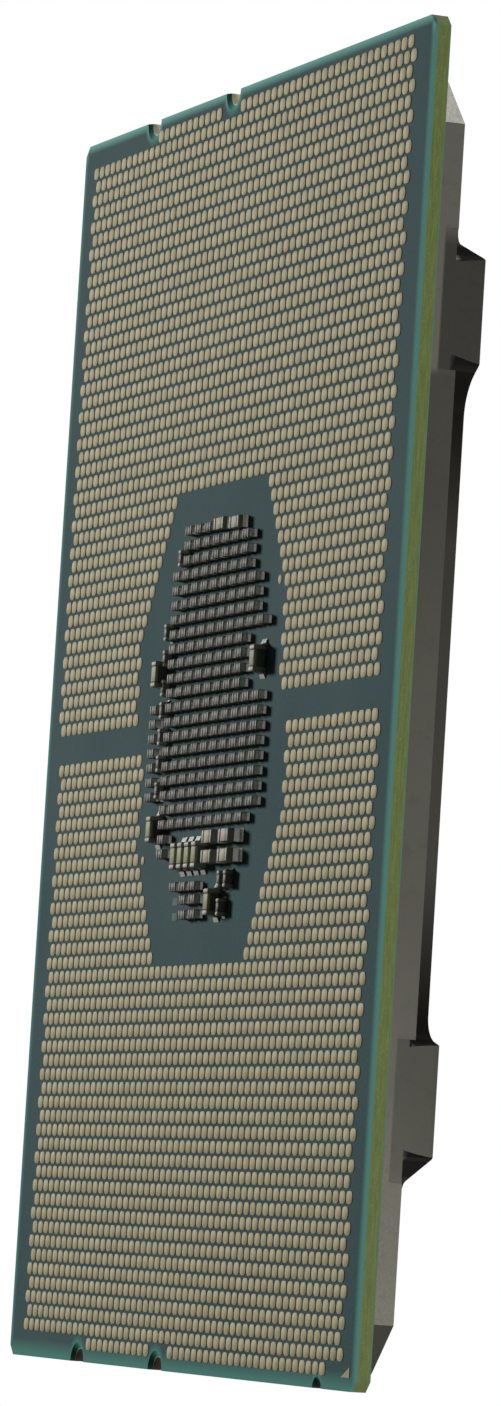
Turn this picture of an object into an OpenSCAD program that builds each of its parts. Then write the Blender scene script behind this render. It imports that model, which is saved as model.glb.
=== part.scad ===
// Land-grid server processor: laminate substrate with a staggered field of
// contact lands around a pocket of decoupling capacitors, a flip-chip die, and a
// stepped metal heat spreader sealed over it.
// +Z points to the heat-spreader side, X runs across the width and Y along the length.
// The origin is the package centre on the plane in which the lands meet a socket.

/* [Package] */
// width across X, mm
package_width = 56.5; // [54:0.1:60]
// length along Y, mm
package_length = 76; // [74:0.1:80]
// cut across each corner of the laminate, mm
package_corner = 0.6; // [0.2:0.1:1.5]
// thickness of the laminate core, mm
core_thickness = 0.7; // [0.5:0.05:1.6]
// thickness of the solder mask and outer build-up on the land side, mm
land_mask_thickness = 0.2; // [0.06:0.01:0.25]
// thickness of the solder mask and outer build-up on the die side, mm
die_mask_thickness = 0.07; // [0.05:0.01:0.2]

/* [Edge notches] */
// radius of the keying notches in both short edges, mm
notch_radius = 0.8; // [0.5:0.05:1]
// distance of the first notch pair from the centre line, mm
notch_near_x = 2.6; // [2.2:0.1:3.2]
// distance of the second notch pair from the centre line, mm
notch_far_x = 16; // [15.5:0.1:16.5]
// radius of the small corner notch, mm
corner_notch_radius = 0.4; // [0.2:0.05:0.6]
// distance of the small corner notch from the centre line, mm
corner_notch_x = 22.85; // [22.5:0.05:23.5]
// width of the ring round each notch that the solder mask leaves bare, mm
notch_bare_ring = 0.35; // [0.1:0.05:0.45]
// width of the same ring round the small corner notch, mm
corner_bare_ring = 0.25; // [0.1:0.05:0.35]

/* [Contact lands] */
// diameter of one land, mm
land_diameter = 0.82; // [0.5:0.01:0.85]
// height of a land above the solder mask, mm
land_height = 0.03; // [0.02:0.01:0.05]
// pitch along a row, mm
land_pitch_x = 0.9906;
// pitch from row to row, mm
land_pitch_y = 0.8585;
// rows in each half of the field
land_rows = 43; // [30:1:43]
// distance of the first row of each half from the centre line, mm
first_row_y = 0.84; // [0.8:0.01:1]
// sideways shift of each half of the field, mm
half_shift = 0.29; // [0:0.01:0.45]
// least distance of a land from the long edges before the shift, mm
land_margin = 2.3; // [2.1:0.05:2.9]
// least distance along X from a keying notch to a land of the last row, mm
notch_land_gap = 1.2; // [1.16:0.01:1.3]

/* [Capacitor pocket] */
// rows in each half that are interrupted by the pocket
pocket_rows = 16; // [10:1:18]
// half width of the pocket at its last row, in land pitches
pocket_end = 8; // [6:0.5:9]
// widest half width of the pocket, in land pitches
pocket_wide = 12.5; // [11.5:0.5:14.5]

/* [Small capacitors] */
// length, width and height of a small capacitor, mm
small_cap = [1.0, 0.5, 0.5];
// pitch along a row, mm
small_pitch_x = 1.577; // [1.5:0.001:1.65]
// pitch from row to row, mm
small_pitch_y = 0.875; // [0.85:0.005:0.95]
// length of a small end terminal, mm
small_terminal = 0.24; // [0.15:0.01:0.3]
// reach of the solder past each end of a small capacitor, mm
small_pad_reach = 0.14; // [0.05:0.01:0.17]

/* [Medium capacitors] */
// length, width and height of a medium capacitor, mm
medium_cap = [1.6, 0.8, 0.8];
// length of a medium end terminal, mm
medium_terminal = 0.34; // [0.2:0.01:0.45]
// reach of the solder past each end of a medium capacitor, mm
medium_pad_reach = 0.45; // [0.1:0.01:0.47]
// length, width and height of the two low capacitors at the end of the topmost row, mm
low_cap = [1.6, 0.75, 0.55];
// pitch along X, mm
medium_pitch_x = 2.7; // [2.5:0.01:2.8]
// pitch along Y, mm
medium_pitch_y = 1.16; // [1.02:0.01:1.2]

/* [Tall capacitors] */
// length, width and height of a tall capacitor, mm
tall_cap = [1.56, 0.8, 0.8];
// length of a tall end terminal, mm
tall_terminal = 0.3; // [0.2:0.01:0.45]
// pitch of the bank of four, mm
tall_pitch = 1.15; // [1.05:0.01:1.2]
// reach of the solder past each end of a tall capacitor, mm
tall_pad_reach = 0.38; // [0.1:0.01:0.4]

/* [Die] */
// size of the silicon die along X, mm
die_width = 21.6; // [14:0.1:26]
// size of the silicon die along Y, mm
die_length = 32.2; // [20:0.1:40]
// thickness of the silicon die, mm
die_thickness = 0.78; // [0.5:0.01:0.9]
// height of the bumps under the die, mm
bump_height = 0.08; // [0.05:0.01:0.12]
// thickness of the thermal interface, mm
interface_thickness = 0.14; // [0.05:0.01:0.3]
// reach of the underfill past the die, mm
underfill_reach = 1.0; // [0.5:0.1:2]
// length, width and height of a capacitor beside the die, mm
die_cap = [1.0, 0.5, 0.45];
// pitch of the capacitors beside the die, mm
die_cap_pitch = 1.9; // [1.3:0.1:3]

/* [Heat spreader] */
// inset of the spreader's long sides from the package edge, mm
lid_side_inset = 2.0; // [1.4:0.1:3]
// inset of the spreader's north end from the package edge, mm
north_end_inset = 2.85; // [1.2:0.05:3.2]
// inset of the spreader's south end from the package edge, mm
south_end_inset = 0.95; // [0.85:0.05:3.2]
// cut across each corner of the flange, mm
lid_corner = 2.75; // [1.5:0.05:4]
// height of the spreader's top above the land plane, mm
lid_top = 4.9; // [4.4:0.05:6]
// height of the flange at the ends, above the land plane, mm
end_flange_top = 3.0; // [2.6:0.05:3.3]
// height of the flange between the ears, above the land plane, mm
side_flange_top = 3.3; // [3:0.05:3.8]
// wall of the spreader round its cavity, mm
lid_wall = 4.2; // [3:0.1:6]
// thickness of the sealant under the flange, mm
sealant_thickness = 0.1; // [0.05:0.01:0.2]

/* [Spreader ears] */
// distance of the inner end of an ear from the centre, mm
ear_start = 18.6; // [15:0.1:19.5]
// length of an ear's outer side, mm
ear_length = 6.3; // [3:0.1:7]
// length along Y of an ear's outer end, mm
ear_slope = 1.6; // [1:0.1:4]
// radius between an ear's outer side and its outer end, mm
ear_corner_radius = 1.0; // [0.3:0.1:1.5]
// radius where an ear's outer end meets the plateau, mm
ear_foot_radius = 0.8; // [0.3:0.1:1.5]
// height above the land plane from which an ear's side leans back, mm
ear_lean_start = 2.2; // [2:0.05:3]
// how far an ear's side has leant back at the top, mm
ear_lean = 0.4; // [0.1:0.05:0.6]
// length along Y of the inner end of a north ear, mm
north_inner_slope = 1.6; // [0.6:0.1:2]
// hollow radius between the plateau and a north ear, mm
north_hollow_radius = 3.0; // [1:0.1:3.2]
// radius on the inner corner of a north ear, mm
north_round_radius = 1.4; // [0.4:0.1:2]
// length along Y of the inner end of a south ear, mm
south_inner_slope = 0.6; // [0.4:0.1:2]
// hollow radius between the plateau and a south ear, mm
south_hollow_radius = 1.5; // [1:0.1:2]
// radius on the inner corner of a south ear, mm
south_round_radius = 0.6; // [0.4:0.1:0.8]

/* [Spreader plateau] */
// half length of the plateau, mm
plateau_half_length = 32.6; // [30:0.1:33]
// step of the plateau behind the flange between the ears, mm
side_step = 2.2; // [1.5:0.1:3]
// step of the plateau behind the flange beyond the ears, mm
end_side_step = 4.6; // [4:0.1:6]
// radius on the plateau's four corners, mm
plateau_corner_radius = 1.8; // [0.5:0.1:3]

/* [Hidden] */
half_width = package_width / 2;
half_length = package_length / 2;
mask_face = land_height;
core_bottom = mask_face + land_mask_thickness;
core_top = core_bottom + core_thickness;
board_top = core_top + die_mask_thickness;
row_end = floor((half_width - land_margin) / land_pitch_x - 0.5) + 0.5;

lid_bottom = board_top + sealant_thickness;
lid_half_width = half_width - lid_side_inset;
lid_north = half_length - north_end_inset;
lid_south = half_length - south_end_inset;
cavity_half_width = lid_half_width - lid_wall - side_step;
cavity_half_length = plateau_half_length - lid_wall;
ear_end = ear_start + ear_length;

die_bottom = board_top + bump_height;
die_top = die_bottom + die_thickness;
cavity_top = die_top + interface_thickness;

pad_rim = 0.04;
fiducial_diameter = 0.55;
fiducial_place = [9.9, 7.8];
mark_size = 1.2;
top_mark_size = 2.0;
mark_inset = [0.7, 0.75];
sealant_width = 2.4;
sealant_setback = 0.45;
sealant_vent = 1.6;
arc_steps = 10;
far = 200;

// the capacitor field is centred a little off the package centre
small_origin = [-0.47, -0.56];
outer_column_x = 8.42;
tall_bank_start = [2.86, -7.8];
tall_singles = [[7.97, 3.3], [-8.15, 3.3], [7.27, -6.05], [-3.1, -10.65]];
medium_bank_start = [-2.66, -6.83];
low_places = [[-0.78, 11.73], [-3.3, 11.62]];
turned_places = [[5.47, 10.13], [7.14, 5.78], [7.14, 4.21], [7.14, 2.44], [7.14, 1.1],
                 [7.14, -0.49], [7.14, -2.1], [7.14, -3.7], [-4.18, -9.34], [-5.2, -9.34],
                 [-4.31, -10.97]];
// small capacitors off the regular rows: place of the first one and how many follow along -X
loose_rows = [[[3.27, -9.6], 3], [[1.54, -10.4], 2], [[1.45, -11.28], 2]];
// solder on two lands that carry no capacitor
bare_pad = [0.85, 0.45];
bare_pad_places = [[3.9, -10.42], [3.85, -11.32]];

$fn = 32;

// ---- substrate ---------------------------------------------------------------

// a rectangle with its four corners cut across
module cut_corner_outline(hx, hy, cut) {
    polygon([[hx, hy - cut], [hx - cut, hy], [cut - hx, hy], [-hx, hy - cut],
             [-hx, cut - hy], [cut - hx, -hy], [hx - cut, -hy], [hx, cut - hy]]);
}

module notch_circles(ring, corner_ring) {
    for (side = [-1, 1], x = [notch_near_x, notch_far_x])
        translate([x, side * half_length]) circle(r = notch_radius + ring);
    translate([-corner_notch_x, -half_length]) circle(r = corner_notch_radius + corner_ring);
}

module board_layer(bottom, thickness, ring, corner_ring) {
    translate([0, 0, bottom]) linear_extrude(thickness) difference() {
        cut_corner_outline(half_width, half_length, package_corner);
        notch_circles(ring, corner_ring);
    }
}

module substrate_core() {
    color([0.40, 0.43, 0.20]) board_layer(core_bottom, core_thickness, 0, 0);
}

module land_side_mask() {
    color([0.22, 0.31, 0.32])
        board_layer(mask_face, land_mask_thickness, notch_bare_ring, corner_bare_ring);
}

module die_side_mask() {
    color([0.16, 0.30, 0.24])
        board_layer(core_top, die_mask_thickness, notch_bare_ring, corner_bare_ring);
}

// ---- contact lands -------------------------------------------------------------

// half width of the pocket in land pitches at a row, no wider than its limit
function pocket_reach(row, limit) = min(pocket_end + (pocket_rows - 1 - row) / 2, limit);

// is there a land at this column of a row, counted in pitches from the half's own centre
function in_pocket_row(row, column) =
    column >= pocket_reach(row, pocket_wide)
    || (row > 0 && column <= -pocket_reach(row, pocket_wide - 1));

// lands of the last row keep clear of both notches, and end at the second one
function clear_of_notches(x) =
    abs(x - notch_near_x) > notch_land_gap && x < notch_far_x - notch_land_gap;

// left_out is how many lands the pin-one corner takes from the start of the last row
function has_land(row, column, left_out) =
    row < pocket_rows ? in_pocket_row(row, column)
    : row == land_rows - 1 ?
        column >= left_out - row_end && clear_of_notches(half_shift + column * land_pitch_x)
    : true;

// every second row holds one land more and starts half a pitch further out
module land_row(row, left_out) {
    last = row_end + (row % 2) / 2;
    for (column = [-last : 1 : last])
        if (has_land(row, column, left_out))
            translate([half_shift + column * land_pitch_x,
                       first_row_y + row * land_pitch_y, 0])
                cylinder(d = land_diameter, h = land_height);
}

module land_rows_between(first, last, left_out) {
    color([0.72, 0.64, 0.44])
        for (row = [first : last]) union() land_row(row, left_out);
}

module lands_north_full_rows() {
    land_rows_between(pocket_rows, land_rows - 1, 0);
}

module lands_north_pocket_rows() {
    land_rows_between(0, pocket_rows - 1, 0);
}

module lands_south_full_rows() {
    mirror([0, 1, 0]) translate([-2 * half_shift, 0, 0])
        land_rows_between(pocket_rows, land_rows - 1, 2);
}

// the south half is the north half turned half way round
module lands_south_pocket_rows() {
    rotate([0, 0, 180]) land_rows_between(0, pocket_rows - 1, 0);
}

module fiducial_dots() {
    color([0.74, 0.66, 0.42])
        for (side = [-1, 1])
            translate([side * -fiducial_place[0], side * fiducial_place[1], 0])
                cylinder(d = fiducial_diameter, h = land_height);
}

// the same corner is marked on the other side of the board
module top_pin_one_mark() {
    color([0.74, 0.66, 0.42])
        translate([mark_inset[0] - half_width, mark_inset[0] - half_length, board_top])
            linear_extrude(land_height) polygon([[0, 0], [top_mark_size, 0], [0, top_mark_size]]);
}

module pin_one_mark() {
    color([0.74, 0.66, 0.42])
        translate([mark_inset[0] - half_width, mark_inset[1] - half_length, 0])
            linear_extrude(land_height)
                polygon([[0, 0], [mark_size, 0], [0, mark_size / 2]]);
}

// ---- capacitors on the land side -------------------------------------------------

// body of a capacitor that hangs below the board, long side along X
module chip_body(size, terminal) {
    skin = 0.02;
    translate([terminal - size[0] / 2, skin - size[1] / 2, skin - size[2]])
        cube([size[0] - 2 * terminal, size[1] - 2 * skin, size[2] - 2 * skin]);
}

module chip_terminals(size, terminal) {
    for (side = [-1, 1])
        translate([side * (size[0] - terminal) / 2, 0, -size[2] / 2])
            cube([terminal, size[1], size[2]], center = true);
}

// solder pads on which the two terminals stand
module chip_pads(size, terminal, reach) {
    for (side = [-1, 1])
        translate([side * (size[0] - terminal + reach) / 2, 0, land_height / 2])
            cube([terminal + reach, size[1] + pad_rim, land_height], center = true);
}

// first and last column of each regular row, counted from the row nearest the centre
function small_row_span(row) =
    row >= 12 ? [-3, 3] : row == 11 ? [-3, 4] : row >= 8 ? [-4, 4] : row == 7 ? [-5, 4]
    : row >= 3 ? [-3, 4] : row >= -5 ? [-5, 4] : row == -6 ? [-4, 4] : [4, 4];

module place_small() {
    for (row = [-8 : 13], column = [small_row_span(row)[0] : small_row_span(row)[1]])
        translate([small_origin[0] + column * small_pitch_x,
                   small_origin[1] + row * small_pitch_y, 0]) children();
    // one more column stands apart beyond the turned ones
    for (row = [-4 : 2])
        translate([outer_column_x, small_origin[1] + row * small_pitch_y, 0]) children();
    // the topmost row is short
    for (column = [1 : 3])
        translate([small_origin[0] + column * small_pitch_x,
                   small_origin[1] + 14 * small_pitch_y, 0]) children();
    for (group = loose_rows, i = [0 : group[1] - 1])
        translate([group[0][0] - i * small_pitch_x, group[0][1], 0]) children();
}

module place_turned() {
    for (place = turned_places) translate(place) rotate(90) children();
}

module place_medium() {
    for (i = [0 : 1], j = [0 : 1])
        translate([medium_bank_start[0] - i * medium_pitch_x,
                   medium_bank_start[1] - j * medium_pitch_y, 0]) children();
}

module place_low() {
    for (place = low_places) translate(place) children();
}

module place_tall() {
    for (i = [0 : 3])
        translate([tall_bank_start[0] - i * tall_pitch, tall_bank_start[1], 0])
            rotate(90) children();
    for (place = tall_singles) translate(place) rotate(90) children();
}

module capacitor_pads() {
    color([0.70, 0.70, 0.68]) {
        place_small() chip_pads(small_cap, small_terminal, small_pad_reach);
        place_turned() chip_pads(small_cap, small_terminal, small_pad_reach);
        place_medium() chip_pads(medium_cap, medium_terminal, medium_pad_reach);
        place_low() chip_pads(low_cap, medium_terminal, small_pad_reach);
        place_tall() chip_pads(tall_cap, tall_terminal, tall_pad_reach);
        for (place = bare_pad_places)
            translate([place[0], place[1], land_height / 2])
                cube([bare_pad[0], bare_pad[1], land_height], center = true);
    }
}

module small_capacitor_bodies() {
    color([0.46, 0.43, 0.38]) place_small() chip_body(small_cap, small_terminal);
}

module small_capacitor_terminals() {
    color([0.66, 0.66, 0.64]) place_small() chip_terminals(small_cap, small_terminal);
}

module turned_capacitor_bodies() {
    color([0.46, 0.43, 0.38]) place_turned() chip_body(small_cap, small_terminal);
}

module turned_capacitor_terminals() {
    color([0.66, 0.66, 0.64]) place_turned() chip_terminals(small_cap, small_terminal);
}

module medium_capacitor_bodies() {
    color([0.60, 0.56, 0.46]) {
        place_medium() chip_body(medium_cap, medium_terminal);
        place_low() chip_body(low_cap, medium_terminal);
    }
}

module medium_capacitor_terminals() {
    color([0.66, 0.66, 0.64]) {
        place_medium() chip_terminals(medium_cap, medium_terminal);
        place_low() chip_terminals(low_cap, medium_terminal);
    }
}

module tall_capacitor_bodies() {
    color([0.52, 0.50, 0.36]) place_tall() chip_body(tall_cap, tall_terminal);
}

module tall_capacitor_terminals() {
    color([0.66, 0.66, 0.64]) place_tall() chip_terminals(tall_cap, tall_terminal);
}

// ---- die and what lies under the heat spreader -------------------------------------

module silicon_die() {
    color([0.30, 0.32, 0.36])
        translate([-die_width / 2, -die_length / 2, die_bottom])
            cube([die_width, die_length, die_thickness]);
}

// resin fills the bump gap and climbs the die's sides in a sloping fillet
module die_underfill() {
    foot = [die_width + 2 * underfill_reach, die_length + 2 * underfill_reach];
    color([0.12, 0.11, 0.10]) difference() {
        translate([0, 0, board_top])
            linear_extrude(bump_height + die_thickness / 2,
                           scale = [die_width / foot[0], die_length / foot[1]], slices = 1)
                square(foot, center = true);
        translate([-die_width / 2, -die_length / 2, die_bottom])
            cube([die_width, die_length, die_thickness]);
    }
}

module thermal_interface() {
    color([0.62, 0.63, 0.65])
        translate([-die_width / 2, -die_length / 2, die_top])
            cube([die_width, die_length, interface_thickness]);
}

module place_die_caps() {
    row_x = die_width / 2 + underfill_reach + die_cap[1];
    count = floor(die_length / die_cap_pitch);
    for (side = [-1, 1], i = [0 : count - 1])
        translate([side * row_x, (i - (count - 1) / 2) * die_cap_pitch,
                   board_top + die_cap[2]]) rotate(90) children();
}

module die_side_capacitor_bodies() {
    color([0.46, 0.43, 0.38]) place_die_caps() chip_body(die_cap, small_terminal);
}

module die_side_capacitor_terminals() {
    color([0.66, 0.66, 0.64]) place_die_caps() chip_terminals(die_cap, small_terminal);
}

// ---- heat spreader ------------------------------------------------------------------

// the flange's outline, with cut corners, drawn in by a setback all round
module flange_outline(setback) {
    x = lid_half_width - setback;
    north = lid_north - setback;
    south = lid_south - setback;
    polygon([[x, north - lid_corner], [x - lid_corner, north], [lid_corner - x, north],
             [-x, north - lid_corner], [-x, lid_corner - south], [lid_corner - x, -south],
             [x - lid_corner, -south], [x, lid_corner - south]]);
}

module lid_sealant() {
    color([0.20, 0.20, 0.21]) translate([0, 0, board_top]) linear_extrude(sealant_thickness)
        difference() {
            flange_outline(sealant_setback);
            flange_outline(sealant_setback + sealant_width);
            translate([-sealant_vent / 2, 0]) square([sealant_vent, far]);
        }
}

function unit(v) = v / norm(v);

// the corner at p between a and b, rounded with radius r
function round_corner(a, p, b, r) =
    let (u = unit(a - p),
         v = unit(b - p),
         half = acos(u * v) / 2,
         centre = p + unit(u + v) * r / sin(half),
         first = p + u * r / tan(half) - centre,
         last = p + v * r / tan(half) - centre,
         start = atan2(first[1], first[0]),
         turn = atan2(last[1], last[0]) - start,
         sweep = turn > 180 ? turn - 360 : turn < -180 ? turn + 360 : turn)
    [for (i = [0 : arc_steps])
        centre + r * [cos(start + sweep * i / arc_steps), sin(start + sweep * i / arc_steps)]];

// corners of a plateau quarter from beside the centre to its end: X, Y and radius
function quarter_corners(slope, hollow_radius, round_radius) =
    let (outer = lid_half_width,
         mid = outer - side_step,
         narrow = outer - end_side_step)
    [[mid, 0, 0],
     [mid, ear_start - slope / 2, hollow_radius],
     [outer, ear_start + slope / 2, round_radius],
     [outer, ear_end, ear_corner_radius],
     [narrow, ear_end + ear_slope, ear_foot_radius],
     [narrow, plateau_half_length, plateau_corner_radius],
     [0, plateau_half_length, 0]];

function flat(corner) = [corner[0], corner[1]];

function rounded_path(corners) =
    [for (i = [0 : len(corners) - 1])
        let (c = corners[i])
        for (point = c[2] == 0 ? [flat(c)]
                     : round_corner(flat(corners[i - 1]), flat(c), flat(corners[i + 1]), c[2]))
            point];

// one quarter of the plateau on each side of the Y axis, towards one end
module plateau_end(direction, corners) {
    for (side = [-1, 1])
        scale([side, direction, 1]) polygon(concat([[0, 0]], rounded_path(corners)));
}

module plateau_outline() {
    plateau_end(1, quarter_corners(north_inner_slope, north_hollow_radius, north_round_radius));
    plateau_end(-1, quarter_corners(south_inner_slope, south_hollow_radius, south_round_radius));
}

module lid_solid() {
    // flange with full width and cut corners
    translate([0, 0, lid_bottom]) linear_extrude(end_flange_top - lid_bottom)
        flange_outline(0);
    // higher flange between the ears
    translate([-lid_half_width, -ear_start, lid_bottom])
        cube([2 * lid_half_width, 2 * ear_start, side_flange_top - lid_bottom]);
    // plateau with the four ears
    translate([0, 0, lid_bottom]) linear_extrude(lid_top - lid_bottom) plateau_outline();
}

// what is taken off the side of an ear so that it leans back
module lean_wedge(length) {
    over = 1;
    rise = lid_top - ear_lean_start;
    rotate([90, 0, 0]) linear_extrude(length, center = true)
        polygon([[0, ear_lean_start], [-ear_lean * (rise + over) / rise, lid_top + over],
                 [over, lid_top + over], [over, ear_lean_start]]);
}

module heat_spreader() {
    reach = ear_length + ear_slope;
    color([0.56, 0.56, 0.54]) difference() {
        lid_solid();
        translate([-cavity_half_width, -cavity_half_length, lid_bottom - 1])
            cube([2 * cavity_half_width, 2 * cavity_half_length, cavity_top - lid_bottom + 1]);
        for (turn = [0, 180], side = [-1, 1]) rotate(turn)
            translate([lid_half_width, side * (ear_start + reach / 2), 0]) lean_wedge(reach);
    }
}

substrate_core();
land_side_mask();
die_side_mask();
lands_north_full_rows();
lands_north_pocket_rows();
lands_south_full_rows();
lands_south_pocket_rows();
fiducial_dots();
pin_one_mark();
top_pin_one_mark();
capacitor_pads();
small_capacitor_bodies();
small_capacitor_terminals();
turned_capacitor_bodies();
turned_capacitor_terminals();
medium_capacitor_bodies();
medium_capacitor_terminals();
tall_capacitor_bodies();
tall_capacitor_terminals();
silicon_die();
die_underfill();
thermal_interface();
die_side_capacitor_bodies();
die_side_capacitor_terminals();
lid_sealant();
heat_spreader();
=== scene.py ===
"""Server processor, seen from its land side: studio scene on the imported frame."""
import math

import bmesh
import bpy
from mathutils import Matrix, Vector

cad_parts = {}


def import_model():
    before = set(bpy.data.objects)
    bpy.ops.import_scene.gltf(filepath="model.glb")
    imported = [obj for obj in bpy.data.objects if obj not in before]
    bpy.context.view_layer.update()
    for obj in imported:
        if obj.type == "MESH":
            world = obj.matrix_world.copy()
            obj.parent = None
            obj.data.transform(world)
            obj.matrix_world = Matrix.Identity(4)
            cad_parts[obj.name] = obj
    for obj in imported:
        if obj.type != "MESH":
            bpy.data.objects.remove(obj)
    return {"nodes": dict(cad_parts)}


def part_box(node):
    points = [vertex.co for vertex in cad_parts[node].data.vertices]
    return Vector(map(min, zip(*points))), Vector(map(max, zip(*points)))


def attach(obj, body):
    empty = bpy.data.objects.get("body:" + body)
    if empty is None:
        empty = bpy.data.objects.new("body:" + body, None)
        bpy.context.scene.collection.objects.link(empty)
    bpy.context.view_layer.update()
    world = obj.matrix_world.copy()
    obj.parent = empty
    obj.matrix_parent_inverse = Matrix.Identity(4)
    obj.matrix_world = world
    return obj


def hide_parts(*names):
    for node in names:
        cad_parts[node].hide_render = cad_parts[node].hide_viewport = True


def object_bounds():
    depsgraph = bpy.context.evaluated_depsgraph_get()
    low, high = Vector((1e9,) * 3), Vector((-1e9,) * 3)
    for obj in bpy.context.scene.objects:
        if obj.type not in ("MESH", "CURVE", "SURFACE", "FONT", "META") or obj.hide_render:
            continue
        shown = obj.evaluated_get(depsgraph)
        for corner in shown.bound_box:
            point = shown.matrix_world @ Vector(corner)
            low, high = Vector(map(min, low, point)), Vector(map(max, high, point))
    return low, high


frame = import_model()
cad_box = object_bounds()

MM = 0.001
MERGE_DISTANCE = 0.0005 * MM

# ---- reading sizes off the frame ---------------------------------------------------


def merged_copy(node):
    """A CAD node's own shape as a bmesh, with its doubled corners merged."""
    bm = bmesh.new()
    bm.from_mesh(frame["nodes"][node].data)
    bmesh.ops.remove_doubles(bm, verts=bm.verts, dist=MERGE_DISTANCE)
    return bm


def solids_of(node):
    """(lowest corner, highest corner) of each separate solid of a CAD node."""
    bm = merged_copy(node)
    boxes, seen = [], set()
    for start in bm.verts:
        if start in seen:
            continue
        seen.add(start)
        group, queue = [start], [start]
        while queue:
            for edge in queue.pop().link_edges:
                for vert in edge.verts:
                    if vert not in seen:
                        seen.add(vert)
                        group.append(vert)
                        queue.append(vert)
        boxes.append((Vector(min(v.co[i] for v in group) for i in range(3)),
                      Vector(max(v.co[i] for v in group) for i in range(3))))
    bm.free()
    return boxes


def middle(box):
    return (box[0] + box[1]) / 2


def extent(box):
    return box[1] - box[0]


board_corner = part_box("land_side_mask")[1]
HALF_WIDTH = board_corner.x
HALF_LENGTH = board_corner.y
NOTCH_RADIUS = 0.8 * MM
NOTCH_PLACES = (2.6 * MM, 16.0 * MM)
CORNER_NOTCH_RADIUS = 0.4 * MM
CORNER_NOTCH_PLACE = -22.85 * MM
# x, y and radius of every notch in the two short edges
NOTCHES = [(x, side * HALF_LENGTH, NOTCH_RADIUS) for side in (-1, 1) for x in NOTCH_PLACES]
NOTCHES.append((CORNER_NOTCH_PLACE, -HALF_LENGTH, CORNER_NOTCH_RADIUS))

# ---- materials ---------------------------------------------------------------------


class Finish:
    """A Principled material that is filled in with procedural detail."""

    def __init__(self, name, roughness, metallic=0.0, specular=0.5):
        self.material = bpy.data.materials.new(name)
        self.material.use_nodes = True
        self.nodes = self.material.node_tree.nodes
        self.links = self.material.node_tree.links
        self.shader = self.nodes["Principled BSDF"]
        self.shader.inputs["Metallic"].default_value = metallic
        self.shader.inputs["Roughness"].default_value = roughness
        self.shader.inputs["Specular IOR Level"].default_value = specular
        self.place = self.nodes.new("ShaderNodeTexCoord").outputs["Object"]

    def add(self, kind, **settings):
        node = self.nodes.new(kind)
        for key, value in settings.items():
            setattr(node, key, value)
        return node

    def stretched(self, x, y, z):
        """Object coordinates with a scale of their own along each axis."""
        node = self.add("ShaderNodeMapping")
        node.inputs["Scale"].default_value = (x, y, z)
        self.links.new(self.place, node.inputs["Vector"])
        return node.outputs["Vector"]

    def noise(self, grains_per_mm, detail=3.0, roughness=0.55, place=None):
        node = self.add("ShaderNodeTexNoise")
        node.inputs["Scale"].default_value = grains_per_mm / MM
        node.inputs["Detail"].default_value = detail
        node.inputs["Roughness"].default_value = roughness
        self.links.new(place or self.place, node.inputs["Vector"])
        return node.outputs["Fac"]

    def maths(self, operation, first, *others):
        """One operation on a value, or over several from left to right."""
        for other in others or (None,):
            node = self.add("ShaderNodeMath", operation=operation)
            for socket, value in zip(node.inputs, (first, other)):
                if isinstance(value, (int, float)):
                    socket.default_value = value
                elif value is not None:
                    self.links.new(value, socket)
            first = node.outputs["Value"]
        return first

    def between(self, value, low, high, out_low=0.0, out_high=1.0):
        """value rescaled from low..high to out_low..out_high, held at the ends."""
        node = self.add("ShaderNodeMapRange")
        self.links.new(value, node.inputs["Value"])
        for socket, number in (("From Min", low), ("From Max", high),
                               ("To Min", out_low), ("To Max", out_high)):
            node.inputs[socket].default_value = number
        return node.outputs["Result"]

    def along(self, value, start_mm, end_mm, at_start=0.0, at_end=1.0):
        """between, for a distance whose ends are given in millimetres."""
        return self.between(value, start_mm * MM, end_mm * MM, at_start, at_end)

    def axis(self, letter):
        node = self.add("ShaderNodeSeparateXYZ")
        self.links.new(self.place, node.inputs["Vector"])
        return node.outputs[letter]

    def facing(self, letter):
        """The surface's own normal along one axis of the object."""
        geometry = self.add("ShaderNodeNewGeometry")
        node = self.add("ShaderNodeSeparateXYZ")
        self.links.new(geometry.outputs["Normal"], node.inputs["Vector"])
        return node.outputs[letter]

    def unsigned(self, value):
        return self.maths("ABSOLUTE", value)

    def blend(self, amount, first, second):
        """A colour that goes from first to second as amount goes from 0 to 1."""
        node = self.add("ShaderNodeMix", data_type="RGBA")
        self.links.new(amount, node.inputs["Factor"])
        for socket, colour in ((node.inputs[6], first), (node.inputs[7], second)):
            if isinstance(colour, tuple):
                socket.default_value = (*colour, 1.0)
            else:
                self.links.new(colour, socket)
        return node.outputs[2]

    def mottled(self, noise, dark, light, spread=0.15):
        """A colour that drifts with a noise, which is mostly within spread of a half."""
        return self.blend(self.between(noise, 0.5 - spread, 0.5 + spread), dark, light)

    def flecked(self, noise, base, fleck, share, start=0.5, full=0.8):
        """Flecks over a base where the noise passes start, up to a share of their colour."""
        return self.blend(self.between(noise, start, full, 0.0, share), base, fleck)

    def colour(self, output):
        self.links.new(output, self.shader.inputs["Base Color"])

    def rough(self, noise, low, high):
        """Roughness that follows a noise."""
        self.links.new(self.between(noise, 0.3, 0.7, low, high), self.shader.inputs["Roughness"])

    def bump(self, height, depth_mm):
        node = self.add("ShaderNodeBump")
        node.inputs["Distance"].default_value = depth_mm * MM
        self.links.new(height, node.inputs["Height"])
        self.links.new(node.outputs["Normal"], self.shader.inputs["Normal"])


def srgb(red, green, blue):
    """Linear colour from the 0..255 values it should be seen as."""
    def linear(value):
        value /= 255
        return value / 12.92 if value <= 0.04045 else ((value + 0.055) / 1.055) ** 2.4
    return linear(red), linear(green), linear(blue)


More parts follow.
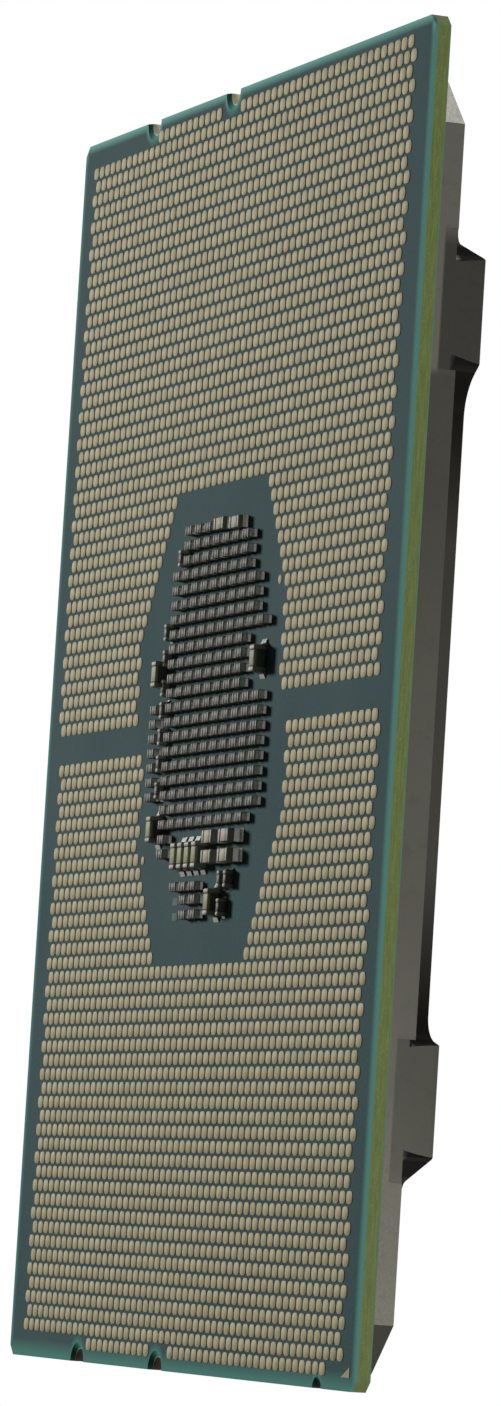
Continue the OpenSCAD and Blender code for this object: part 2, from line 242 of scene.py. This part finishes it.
def land_gold():
    finish = Finish("contact_gold", roughness=0.55, metallic=0.03, specular=0.004)
    cloud = finish.noise(0.9, detail=2.0)
    grain = finish.noise(14.0)
    base = finish.mottled(cloud, srgb(125, 119, 94), srgb(142, 134, 108))
    finish.colour(finish.flecked(grain, base, srgb(167, 158, 131), 0.5, start=0.45))
    finish.rough(grain, 0.5, 0.65)
    finish.bump(grain, 0.004)
    return finish.material


def notch_distance(finish, x, y):
    """How far a point of the board lies from the middle of a notch."""
    flat = finish.add("ShaderNodeVectorMath", operation="MULTIPLY")
    finish.links.new(finish.place, flat.inputs[0])
    flat.inputs[1].default_value = (1.0, 1.0, 0.0)
    gap = finish.add("ShaderNodeVectorMath", operation="DISTANCE")
    finish.links.new(flat.outputs["Vector"], gap.inputs[0])
    gap.inputs[1].default_value = (x, y, 0.0)
    return gap.outputs["Value"]


# how far the pale ring round a notch reaches before it starts to fade
PALE_RING = 0.25 * MM
# distances from the -Y edge count half, so the pale band is twice as wide there
NEAR_EDGE_SHARE = 0.5


def edge_band(finish, solid_mm, faded_mm):
    """1 along the outline of the board and round its notches, fading to 0 inwards."""
    x, y = finish.axis("X"), finish.axis("Y")
    from_near_edge = finish.maths("ADD", y, HALF_LENGTH)
    inward = [finish.maths("SUBTRACT", HALF_WIDTH, finish.unsigned(x)),
              finish.maths("SUBTRACT", HALF_LENGTH, y),
              finish.maths("MULTIPLY", from_near_edge, NEAR_EDGE_SHARE)]
    for notch_x, notch_y, radius in NOTCHES:
        gap = notch_distance(finish, notch_x, notch_y)
        inward.append(finish.maths("SUBTRACT", gap, radius + PALE_RING))
    return finish.along(finish.maths("MINIMUM", *inward), solid_mm, faded_mm, 1.0, 0.0)


def solder_mask(name, dark, light, rim, painted_highlight_rim):
    """Even green, paler in a band along the board's outline and round its notches, with a
    painted highlight in the brighter rim colour on upright walls and near the +Y edge.
    """
    finish = Finish(name, roughness=0.55, specular=0.001)
    cloud = finish.noise(0.06, detail=2.0)
    grain = finish.noise(6.0)
    base = finish.mottled(cloud, dark, light)
    speckled = finish.flecked(grain, base, rim, 0.35)
    # painted highlight: upright walls and the strip near the +Y edge take the brighter rim
    # colour
    far_end = finish.between(finish.axis("Y"), HALF_LENGTH - 1.2 * MM, HALF_LENGTH - 0.4 * MM)
    upright = finish.between(finish.unsigned(finish.facing("Z")), 0.5, 0.2)
    bare = finish.blend(finish.maths("MAXIMUM", far_end, upright), rim, painted_highlight_rim)
    finish.colour(finish.blend(edge_band(finish, 0.1, 0.55), speckled, bare))
    finish.rough(grain, 0.5, 0.65)
    finish.bump(grain, 0.006)
    return finish.material


def laminate():
    """Woven glass in resin on the cut sides, build-up green on the flat faces; the notch walls
    are pale at the +Y end and dark brown as painted shade at the -Y end.
    """
    finish = Finish("laminate", roughness=0.55, specular=0.1)
    layers = finish.noise(5.0, detail=4.0, place=finish.stretched(0.12, 0.12, 1.6))
    fibres = finish.noise(9.0)
    resin = finish.mottled(layers, srgb(106, 119, 67), srgb(122, 136, 78))
    side = finish.flecked(fibres, resin, srgb(168, 172, 112), 0.35, start=0.55, full=0.75)
    walls = [finish.between(notch_distance(finish, x, y),
                            radius + 0.03 * MM, radius + 0.1 * MM, 1.0, 0.0)
             for x, y, radius in NOTCHES]
    # notch walls: pale cut laminate at the +Y end, dark brown painted shade at the -Y end
    wall = finish.blend(finish.along(finish.axis("Y"), -1.0, 1.0),
                        srgb(52, 38, 34), srgb(205, 200, 168))
    cut = finish.blend(finish.maths("MAXIMUM", *walls), side, wall)
    flat = finish.between(finish.unsigned(finish.facing("Z")), 0.4, 0.6)
    finish.colour(finish.blend(flat, cut, srgb(78, 118, 108)))
    finish.bump(fibres, 0.01)
    return finish.material


def with_painted_side_light(finish, face, side):
    """The face's colour, and the side's where the surface turns to -X; the side colour paints
    light, mostly lighter than the face, onto faces that the key lamp leaves in shade.
    """
    turned = finish.between(finish.facing("X"), -0.85, -0.5, 1.0, 0.0)
    return finish.blend(turned, face, side)


# heights in millimetres between which a side's painted light gives way to the colour of its foot
FOOT_STARTS = -0.72
FOOT_FULL = -0.58


def ceramic(name, dark, light, side, foot=None):
    """Sintered ceramic; its -X sides carry painted light in the side colour, and foot is the
    side's colour close to the board, if it differs.
    """
    finish = Finish(name, roughness=0.5, specular=0.01)
    cloud = finish.noise(0.5, detail=1.0)
    grain = finish.noise(16.0)
    base = finish.flecked(grain, finish.mottled(cloud, dark, light), srgb(160, 155, 141), 0.3)
    if foot:
        side = finish.blend(finish.along(finish.axis("Z"), FOOT_STARTS, FOOT_FULL), side, foot)
    finish.colour(with_painted_side_light(finish, base, side))
    finish.rough(grain, 0.4, 0.6)
    finish.bump(grain, 0.006)
    return finish.material


def tinned(name, dark, light, side, metallic, specular=0.02, bump_mm=0.012):
    """Plated tin: smooth drifts of tone under a fine uneven skin, with painted light in the side
    colour where it turns to -X.
    """
    finish = Finish(name, roughness=0.45, metallic=metallic, specular=specular)
    cloud = finish.noise(0.8, detail=1.0)
    grain = finish.noise(12.0)
    finish.colour(with_painted_side_light(finish, finish.mottled(cloud, dark, light), side))
    finish.rough(grain, 0.45, 0.65)
    finish.bump(grain, bump_mm)
    return finish.material


def solder():
    """Reflowed solder, paler than the plated terminals."""
    finish = Finish("reflowed_solder", roughness=0.3, metallic=0.7, specular=0.05)
    grain = finish.noise(9.0)
    finish.colour(finish.mottled(grain, srgb(104, 105, 100), srgb(124, 125, 119)))
    finish.bump(grain, 0.012)
    return finish.material


# where the lid's finish, painted shade and painted light change: millimetres from the middle, or
# above the land plane
EAR_FOOT = (2.15, 2.3)
WALL_FOOT = (3.05, 3.4)
EAR_START = (18.2, 18.7)
EAR_SLOPE = (25.6, 26.8)
EAR_TIP = (26.6, 27.2)
EAR_FLANK = (25.3, 25.9)
BESIDE_EAR = (9.0, 17.0)
SHADY_SIDE = (-23.0, -20.0)
# dark grey for the lid's painted shade, and for its scuffs
PAINTED_SHADE_AND_SCUFF = srgb(36, 35, 32)


def recess(finish):
    """How much painted shade darkens the lid, up to nearly 1: on the -X side's upright walls
    above the flange that stand back from the ears' sides, more towards the ears, and on the
    ears' end slopes, half as much on the +X side.
    """
    x = finish.axis("X")
    beside = finish.unsigned(finish.axis("Y"))
    rise = finish.along(finish.axis("Z"), *WALL_FOOT)
    upright = finish.between(finish.unsigned(finish.facing("Z")), 0.9, 0.3)
    near_ear = finish.along(beside, *BESIDE_EAR, 0.35, 0.95)
    behind = finish.along(x, -EAR_FLANK[1], -EAR_FLANK[0])
    shady_side = finish.along(x, *SHADY_SIDE, 1.0, 0.0)
    wall = finish.maths("MULTIPLY", rise, upright, near_ear, behind, shady_side)
    sloped = finish.between(finish.unsigned(finish.facing("Y")), 0.25, 0.5, 0.0, 0.9)
    before_tip = finish.along(beside, *EAR_TIP, 1.0, 0.0)
    less_beyond = finish.along(x, *SHADY_SIDE, 1.0, 0.5)
    ear_end = finish.maths("MULTIPLY", rise, sloped, before_tip, less_beyond)
    return finish.maths("MAXIMUM", wall, ear_end)


def nickel():
    """Satin nickel over coined copper, brighter on top; the -X side is painted darker as shade,
    with more painted shade towards +Y and on the ears and slots, and painted light past the +Y
    ear.
    """
    finish = Finish("nickel_plate", roughness=0.4, metallic=0.6, specular=0.0)
    cloud = finish.noise(0.05)
    brushing = finish.noise(3.0, detail=4.0, place=finish.stretched(0.12, 2.5, 2.5))
    scuffs = finish.noise(0.8, detail=6.0, roughness=0.7)
    y = finish.axis("Y")
    beside = finish.unsigned(y)
    # painted shade: faces turned to -X get a darker grey than the lid's other sides, darkening
    # further towards +Y, and painted light lifts them again past the +Y ear
    side = finish.mottled(cloud, srgb(60, 59, 54), srgb(69, 68, 62), spread=0.2)
    side = finish.blend(finish.along(y, -5.0, 15.0, 0.0, 0.3), side, PAINTED_SHADE_AND_SCUFF)
    side = finish.blend(finish.along(y, *EAR_START), side, srgb(85, 84, 78))
    # painted shade on the ears' outer faces, deeper on the +Y ear
    on_ear = finish.maths("MULTIPLY",
                          finish.along(finish.axis("Z"), *EAR_FOOT),
                          finish.along(finish.unsigned(finish.axis("X")), *EAR_FLANK),
                          finish.along(beside, *EAR_START),
                          finish.along(beside, *EAR_SLOPE, 1.0, 0.0))
    painted_ear_shade = finish.maths("MULTIPLY", on_ear, finish.along(y, -1.0, 1.0, 0.25, 0.72))
    side = finish.blend(painted_ear_shade, side, PAINTED_SHADE_AND_SCUFF)
    # painted shade, nearly black, on the walls of the slots beside the ears and on the ears' end
    # slopes
    painted_slot_shade = recess(finish)
    side = finish.blend(painted_slot_shade, side, srgb(26, 25, 24))
    top = finish.mottled(cloud, srgb(138, 137, 133), srgb(152, 151, 147), spread=0.2)
    edges = finish.mottled(cloud, srgb(98, 97, 92), srgb(110, 109, 104), spread=0.2)
    toward_minus_x = finish.between(finish.facing("X"), -0.6, -0.2, 1.0, 0.0)
    # the painted -X side colour, shade included, goes where faces turn to -X and on the painted
    # slot shade; other sides keep the edges colour
    side = finish.blend(finish.maths("MAXIMUM", toward_minus_x, painted_slot_shade), edges, side)
    upward = finish.between(finish.facing("Z"), 0.6, 0.95)
    plated = finish.blend(upward, side, top)
    # scuffs are real wear in the same dark grey
    finish.colour(finish.flecked(scuffs, plated, PAINTED_SHADE_AND_SCUFF, 0.35, start=0.55))
    # metal only on faces turned to -X and on the top, and none where the painted slot shade lies
    metallic_share = finish.maths("MULTIPLY", finish.maths("MAXIMUM", toward_minus_x, upward),
                         finish.between(painted_slot_shade, 0.0, 1.0, 0.6, 0.0))
    finish.links.new(metallic_share, finish.shader.inputs["Metallic"])
    finish.rough(brushing, 0.32, 0.38)
    finish.bump(brushing, 0.0012)
    return finish.material


def plain_matt(name, dark, light, roughness, metallic=0.0, grains=4.0):
    """A quiet finish for the pieces that the lid closes in."""
    finish = Finish(name, roughness=roughness, metallic=metallic)
    grain = finish.noise(grains)
    finish.colour(finish.mottled(grain, dark, light, spread=0.2))
    finish.bump(grain, 0.01)
    return finish.material


GOLD = land_gold()
# the side colours of the tin paint light onto the faces turned to -X
TIN = tinned("tinned_terminal", srgb(100, 101, 95), srgb(116, 117, 110),
             side=srgb(140, 142, 132), metallic=0.02)
BRIGHT_TIN = tinned("bright_tinned_terminal", srgb(106, 106, 99), srgb(122, 122, 114),
                    side=srgb(132, 133, 122), metallic=0.04)
PAD_TIN = tinned("tinned_pad", srgb(88, 97, 95), srgb(102, 111, 108),
                 side=srgb(95, 104, 102), metallic=0.0, specular=0.0, bump_mm=0.003)
SOLDER = solder()
NICKEL = nickel()
LAND_MASK = solder_mask("land_side_solder_mask", srgb(54, 71, 72), srgb(62, 77, 78),
                        rim=srgb(70, 115, 107), painted_highlight_rim=srgb(98, 150, 139))
TOP_MASK = solder_mask("die_side_solder_mask", srgb(38, 78, 58), srgb(48, 92, 68),
                       rim=srgb(92, 132, 104), painted_highlight_rim=srgb(104, 142, 116))
LAMINATE = laminate()
# the side colours of the ceramics paint light onto the faces turned to -X, most of all the pale
# olive on the tall chips
SMALL_CERAMIC = ceramic("small_capacitor_ceramic", srgb(75, 73, 67), srgb(89, 87, 81),
                        side=srgb(112, 110, 100))
MEDIUM_CERAMIC = ceramic("medium_capacitor_ceramic", srgb(118, 113, 97), srgb(134, 129, 111),
                         side=srgb(122, 118, 98))
TALL_CERAMIC = ceramic("tall_capacitor_ceramic", srgb(100, 100, 78), srgb(114, 113, 91),
                       side=srgb(176, 188, 122), foot=srgb(92, 96, 94))
SILICON = plain_matt("silicon", srgb(70, 74, 84), srgb(84, 88, 98), 0.15,
                     metallic=0.4, grains=1.0)
UNDERFILL = plain_matt("underfill_resin", srgb(34, 32, 30), srgb(46, 43, 40), 0.45)
INTERFACE = plain_matt("interface_metal", srgb(160, 162, 166), srgb(182, 184, 188), 0.5,
                       metallic=0.7)
SEALANT = plain_matt("sealant", srgb(52, 52, 54), srgb(66, 66, 68), 0.7)

# ---- pieces made from the frame's own sizes ------------------------------------------


def finished_piece(name, bm, material, nodes):
    """Turns a bmesh into a piece of the object that stands for some CAD nodes."""
    mesh = bpy.data.meshes.new(name)
    bm.to_mesh(mesh)
    bm.free()
    mesh.materials.append(material)
    piece = bpy.data.objects.new(name, mesh)
    bpy.context.scene.collection.objects.link(piece)
    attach(piece, "root")
    if nodes:
        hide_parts(*nodes)


def repeated(shape, places):
    """A bmesh with a copy of the shape at each place; the shape is used up."""
    template = bpy.data.meshes.new("template")
    shape.to_mesh(template)
    shape.free()
    whole = bmesh.new()
    for place in places:
        template.transform(Matrix.Translation(place))
        whole.from_mesh(template)
        template.transform(Matrix.Translation(-place))
    bpy.data.meshes.remove(template)
    return whole


def smooth_all(bm):
    for face in bm.faces:
        face.smooth = True


def bevelled(bm, edges, offset, segments):
    """Rounds some edges; returns the bmesh."""
    bmesh.ops.bevel(bm, geom=edges, offset=offset, segments=segments, profile=0.5,
                    affect="EDGES", material=-1)
    return bm


# the share of a contact's height that its rounded rim takes
RIM_SHARE = 0.8


def rounded_rim(bm, height):
    """A contact with its outer rim rounded and its faces smooth."""
    rim = [e for e in bm.edges if all(v.co.z < 0.0 for v in e.verts)]
    bevelled(bm, rim, height * RIM_SHARE, 2)
    smooth_all(bm)
    return bm


DOT_SIDES = 24
# a land is a little wider than long, with full corners, as a share of the disc it stands for
LAND_WIDTH_SHARE = 1.08
LAND_LENGTH_SHARE = 0.90
LAND_CORNER_SHARE = 0.34


def land_shape(diameter, height):
    """A plated contact: a low pad with full corners, a rounded rim and a flat face."""
    bm = bmesh.new()
    bmesh.ops.create_cube(bm, size=1.0)
    bmesh.ops.scale(bm, verts=bm.verts,
                    vec=(diameter * LAND_WIDTH_SHARE, diameter * LAND_LENGTH_SHARE, height))
    corners = [e for e in bm.edges if abs(e.verts[0].co.z - e.verts[1].co.z) > height / 2]
    return rounded_rim(bevelled(bm, corners, diameter * LAND_CORNER_SHARE, 3), height)


def dot_shape(diameter, height):
    """An alignment dot: a low plated disc with a rounded rim."""
    bm = bmesh.new()
    bmesh.ops.create_cone(bm, cap_ends=True, segments=DOT_SIDES, radius1=diameter / 2,
                          radius2=diameter / 2, depth=height)
    return rounded_rim(bm, height)


def contacts(node, name, shape):
    """Flat plated pads of one outline in place of a node's plain discs."""
    boxes = solids_of(node)
    size = extent(boxes[0])
    pad = shape(max(size.x, size.y), size.z)
    finished_piece(name, repeated(pad, [middle(b) for b in boxes]), GOLD, [node])


def rounded_block(size, radius, segments):
    bm = bmesh.new()
    bmesh.ops.create_cube(bm, size=1.0)
    bmesh.ops.scale(bm, verts=bm.verts, vec=size)
    bevelled(bm, bm.edges[:], radius, segments)
    smooth_all(bm)
    return bm


# solids whose sizes agree to this are taken as of one size
SIZE_STEP = 0.01 * MM


def blocks(node, material, radius_mm, segments=1, breadth=1.0):
    """Rounded blocks in place of a node's plain ones, all of a size in one go."""
    whole = bmesh.new()
    by_size = {}
    for box in solids_of(node):
        size = extent(box)
        size.y *= breadth
        key = tuple(round(value / SIZE_STEP) for value in size)
        by_size.setdefault(key, (size, []))[1].append(middle(box))
    for size, places in by_size.values():
        copies = repeated(rounded_block(size, radius_mm * MM, segments), places)
        part = bpy.data.meshes.new("part")
        copies.to_mesh(part)
        copies.free()
        whole.from_mesh(part)
        bpy.data.meshes.remove(part)
    finished_piece(node + "_rounded", whole, material, [node])


# faces that meet at less than LEVEL are one face, and edges past SHARP are rounded
LEVEL = math.radians(1)
SHARP = math.radians(20)


def softened(node, material, radius_mm):
    """A CAD node's own shape, merged, with its sharp edges rounded if there is a radius."""
    bm = merged_copy(node)
    bmesh.ops.dissolve_limit(bm, angle_limit=LEVEL, verts=bm.verts, edges=bm.edges)
    if radius_mm:
        edges = [e for e in bm.edges
                 if len(e.link_faces) == 2 and e.calc_face_angle(0.0) > SHARP]
        bmesh.ops.bevel(bm, geom=edges, offset=radius_mm * MM, segments=3, profile=0.5,
                        affect="EDGES", material=-1, clamp_overlap=True)
    bmesh.ops.triangulate(bm, faces=bm.faces)
    finished_piece(node + "_softened", bm, material, [node])


# a fillet from the side: its corner, its toe, its hollow and its top, as shares of its size
FILLET_OUTLINE = ((0.0, 0.0), (1.0, 0.0), (0.3, 0.3), (0.0, 1.0))
# how much narrower a fillet is than the terminal that it climbs
FILLET_INSET = 0.04 * MM
# how far solder climbs the ends of each kind of terminal, as a share of its height
CLIMBS = {
    "small_capacitor_terminals": 0.85,
    "turned_capacitor_terminals": 0.6,
    "medium_capacitor_terminals": 0.5,
    "tall_capacitor_terminals": 0.5,
}


def fillet_shape(reach, width, height):
    """A hollow wedge of solder, from a wall at the origin out to the end of its pad."""
    bm = bmesh.new()
    outline = [bm.verts.new((x * reach, -width / 2, -z * height)) for x, z in FILLET_OUTLINE]
    profile = bm.faces.new(outline)
    swept = bmesh.ops.extrude_face_region(bm, geom=[profile])
    far_side = [v for v in swept["geom"] if isinstance(v, bmesh.types.BMVert)]
    bmesh.ops.translate(bm, verts=far_side, vec=(0, width, 0))
    bmesh.ops.recalc_face_normals(bm, faces=bm.faces)
    return bm


def fillets(pads):
    """Solder that slopes from a terminal's outer end down to the end of its pad."""
    whole = bmesh.new()
    part = bpy.data.meshes.new("part")
    ends = [(*end, climb) for node, climb in CLIMBS.items() for end in solids_of(node)]
    for low, high in solids_of(pads):
        centre = middle((low, high))
        near = [e for e in ends if e[0].x < high.x and e[1].x > low.x
                and e[0].y < high.y and e[1].y > low.y]
        if not near:
            continue
        *stand, climb = min(near, key=lambda e: (middle(e) - centre).length)
        beyond = centre - middle(stand)
        along = 0 if abs(beyond.x) > abs(beyond.y) else 1
        outward = beyond[along] > 0
        wall = stand[outward][along]
        toe = (low, high)[outward][along]
        height = low.z - stand[1].z + climb * extent(stand).z
        shape = fillet_shape(abs(toe - wall), extent(stand)[1 - along] - FILLET_INSET, height)
        corner = middle(stand)
        corner[along], corner.z = wall, low.z
        turn = Matrix.Rotation(math.radians(90 * along + (0 if outward else 180)), 4, "Z")
        shape.transform(Matrix.Translation(corner) @ turn)
        shape.to_mesh(part)
        shape.free()
        whole.from_mesh(part)
    bpy.data.meshes.remove(part)
    return whole


# a bare ring's outer edge lies within this of its notch, and is drawn in to leave a lip
RING_REACH = 0.37 * MM
RING_LIP = 0.02 * MM


def sloping_rings(node, material):
    """The mask with its bare rings sloped down to the notches instead of stepped."""
    bm = merged_copy(node)
    core_side = max(v.co.z for v in bm.verts)
    for x, y, radius in NOTCHES:
        centre = Vector((x, y, 0.0))
        ring = [v for v in bm.verts if v.co.z > core_side - 0.01 * MM
                and (v.co.xy - centre.xy).length < radius + RING_REACH]
        old = max((v.co.xy - centre.xy).length for v in ring)
        shrink = (radius + RING_LIP) / old
        bmesh.ops.scale(bm, verts=ring, vec=(shrink, shrink, 1.0),
                        space=Matrix.Translation(-centre))
    finished_piece(node + "_sloped", bm, material, [node])


for field in ("lands_north_full_rows", "lands_north_pocket_rows",
              "lands_south_full_rows", "lands_south_pocket_rows"):
    contacts(field, field + "_plated", land_shape)
contacts("fiducial_dots", "fiducial_dots_plated", dot_shape)

# the chips in the rows are this much broader than their solids, so only dark lanes are left
CHIP_BREADTH = 1.12
blocks("small_capacitor_bodies", SMALL_CERAMIC, 0.03, breadth=CHIP_BREADTH)
blocks("small_capacitor_terminals", TIN, 0.05, breadth=CHIP_BREADTH)
blocks("turned_capacitor_bodies", SMALL_CERAMIC, 0.03)
blocks("turned_capacitor_terminals", TIN, 0.05)
blocks("medium_capacitor_bodies", MEDIUM_CERAMIC, 0.05, segments=2)
blocks("medium_capacitor_terminals", BRIGHT_TIN, 0.08, segments=2)
blocks("tall_capacitor_bodies", TALL_CERAMIC, 0.06, segments=3)
blocks("tall_capacitor_terminals", BRIGHT_TIN, 0.09, segments=3)
finished_piece("solder_fillets", fillets("capacitor_pads"), SOLDER, [])
sloping_rings("land_side_mask", LAND_MASK)
softened("heat_spreader", NICKEL, 0.18)
softened("die_underfill", UNDERFILL, 0.0)

# ---- CAD nodes whose own shape shows ---------------------------------------------------

FINISHES = {
    "substrate_core": LAMINATE,
    "die_side_mask": TOP_MASK,
    "pin_one_mark": GOLD,
    "top_pin_one_mark": GOLD,
    "capacitor_pads": PAD_TIN,
    "silicon_die": SILICON,
    "thermal_interface": INTERFACE,
    "die_side_capacitor_bodies": SMALL_CERAMIC,
    "die_side_capacitor_terminals": TIN,
    "lid_sealant": SEALANT,
}
for node, material in FINISHES.items():
    shown = frame["nodes"][node]
    shown.data.materials.clear()
    shown.data.materials.append(material)

# ---- studio ------------------------------------------------------------------------------

# the camera stands beyond the -X edge and looks up at the land side: its lens, sensor and
# place in millimetres, and the directions that are right and up for it
LENS = 169.2
SENSOR_WIDTH = 36.0
EYE_PLACE = (-361.95, -30.63, -137.24)
EYE_RIGHT = (-0.36418, 0.06141, 0.92930)
EYE_UP = (-0.05444, 0.99471, -0.08707)

# name, width and height, power and place; each lamp is turned to the middle of the object
LAMPS = (
    ("key_below", (0.22, 0.22), 35.6, (1.20, 0.22, -0.63)),
    ("side_light", (0.10, 0.06), 1.0, (-0.48, -0.10, 0.15)),
    ("ear_light", (0.06, 0.06), 0.4, (-0.40, -0.08, 0.31)),
    ("edge_light", (0.12, 0.12), 0.75, (0.05, 0.56, 0.22)),
    ("key_above", (0.50, 0.50), 2.9, (0.18, -0.24, 0.52)),
)
FILL_STRENGTH = 0.048

FLOOR_COLOUR = (0.86, 0.86, 0.85, 1.0)
FLOOR_GAP = 0.02 * MM
FLOOR_REACH = 1.2
# the floor is whole this near its middle, and gone this far from it
FLOOR_WHOLE = 0.09
FLOOR_GONE = 0.45


def camera():
    data = bpy.data.cameras.new("camera")
    data.lens = LENS
    data.sensor_width = SENSOR_WIDTH
    data.clip_start = 0.01
    data.clip_end = 50.0
    eye = bpy.data.objects.new("camera", data)
    right, up = Vector(EYE_RIGHT), Vector(EYE_UP)
    turn = Matrix((right, up, right.cross(up))).transposed().to_4x4()
    eye.matrix_world = Matrix.Translation(Vector(EYE_PLACE) * MM) @ turn
    bpy.context.scene.collection.objects.link(eye)
    bpy.context.scene.camera = eye


def lamp(name, size, power, place):
    """A soft rectangular lamp, as wide and as high as size says."""
    data = bpy.data.lights.new(name, "AREA")
    data.shape = "RECTANGLE"
    data.size, data.size_y = size
    data.energy = power
    light = bpy.data.objects.new(name, data)
    light.location = place
    light.rotation_euler = (-Vector(place)).to_track_quat("-Z", "Y").to_euler()
    bpy.context.scene.collection.objects.link(light)


def larger(nodes, links, first, second):
    """The larger of two shader values."""
    node = nodes.new("ShaderNodeMath")
    node.operation = "MAXIMUM"
    links.new(first, node.inputs[0])
    links.new(second, node.inputs[1])
    return node.outputs["Value"]


def world():
    """White where it is seen, a dimmer even light where it lights the object."""
    scene_world = bpy.data.worlds.new("studio")
    scene_world.use_nodes = True
    nodes, links = scene_world.node_tree.nodes, scene_world.node_tree.links
    background = nodes["Background"]
    path = nodes.new("ShaderNodeLightPath")
    seen = path.outputs["Is Camera Ray"]
    for ray in ("Is Glossy Ray", "Is Transmission Ray"):
        seen = larger(nodes, links, seen, path.outputs[ray])
    strength = nodes.new("ShaderNodeMapRange")
    strength.inputs["To Min"].default_value = FILL_STRENGTH
    strength.inputs["To Max"].default_value = 1.0
    links.new(seen, strength.inputs["Value"])
    links.new(strength.outputs["Result"], background.inputs["Strength"])
    background.inputs["Color"].default_value = (1.0, 1.0, 1.0, 1.0)
    bpy.context.scene.world = scene_world


def floor():
    """A pale floor seen from above only, fading into the white further out."""
    bm = bmesh.new()
    bmesh.ops.create_grid(bm, x_segments=1, y_segments=1, size=FLOOR_REACH)
    bmesh.ops.translate(bm, verts=bm.verts, vec=(0, 0, cad_box[0].z - FLOOR_GAP))
    mesh = bpy.data.meshes.new("floor")
    bm.to_mesh(mesh)
    bm.free()
    ground = bpy.data.objects.new("floor", mesh)
    material = bpy.data.materials.new("floor")
    material.use_nodes = True
    nodes, links = material.node_tree.nodes, material.node_tree.links
    shader = nodes["Principled BSDF"]
    shader.inputs["Base Color"].default_value = FLOOR_COLOUR
    shader.inputs["Roughness"].default_value = 0.8
    clear = nodes.new("ShaderNodeBsdfTransparent")
    side = nodes.new("ShaderNodeNewGeometry")
    choose = nodes.new("ShaderNodeMixShader")
    place = nodes.new("ShaderNodeTexCoord")
    away = nodes.new("ShaderNodeVectorMath")
    away.operation = "LENGTH"
    links.new(place.outputs["Object"], away.inputs[0])
    fade = nodes.new("ShaderNodeMapRange")
    fade.inputs["From Min"].default_value = FLOOR_WHOLE
    fade.inputs["From Max"].default_value = FLOOR_GONE
    links.new(away.outputs["Value"], fade.inputs["Value"])
    hidden = larger(nodes, links, side.outputs["Backfacing"], fade.outputs["Result"])
    links.new(hidden, choose.inputs["Fac"])
    links.new(shader.outputs["BSDF"], choose.inputs[1])
    links.new(clear.outputs["BSDF"], choose.inputs[2])
    links.new(choose.outputs["Shader"], nodes["Material Output"].inputs["Surface"])
    mesh.materials.append(material)
    ground.visible_shadow = False
    ground.visible_diffuse = False
    ground.visible_glossy = False
    bpy.context.scene.collection.objects.link(ground)


camera()
world()
floor()
for settings in LAMPS:
    lamp(*settings)
bpy.context.scene.view_settings.view_transform = "Standard"
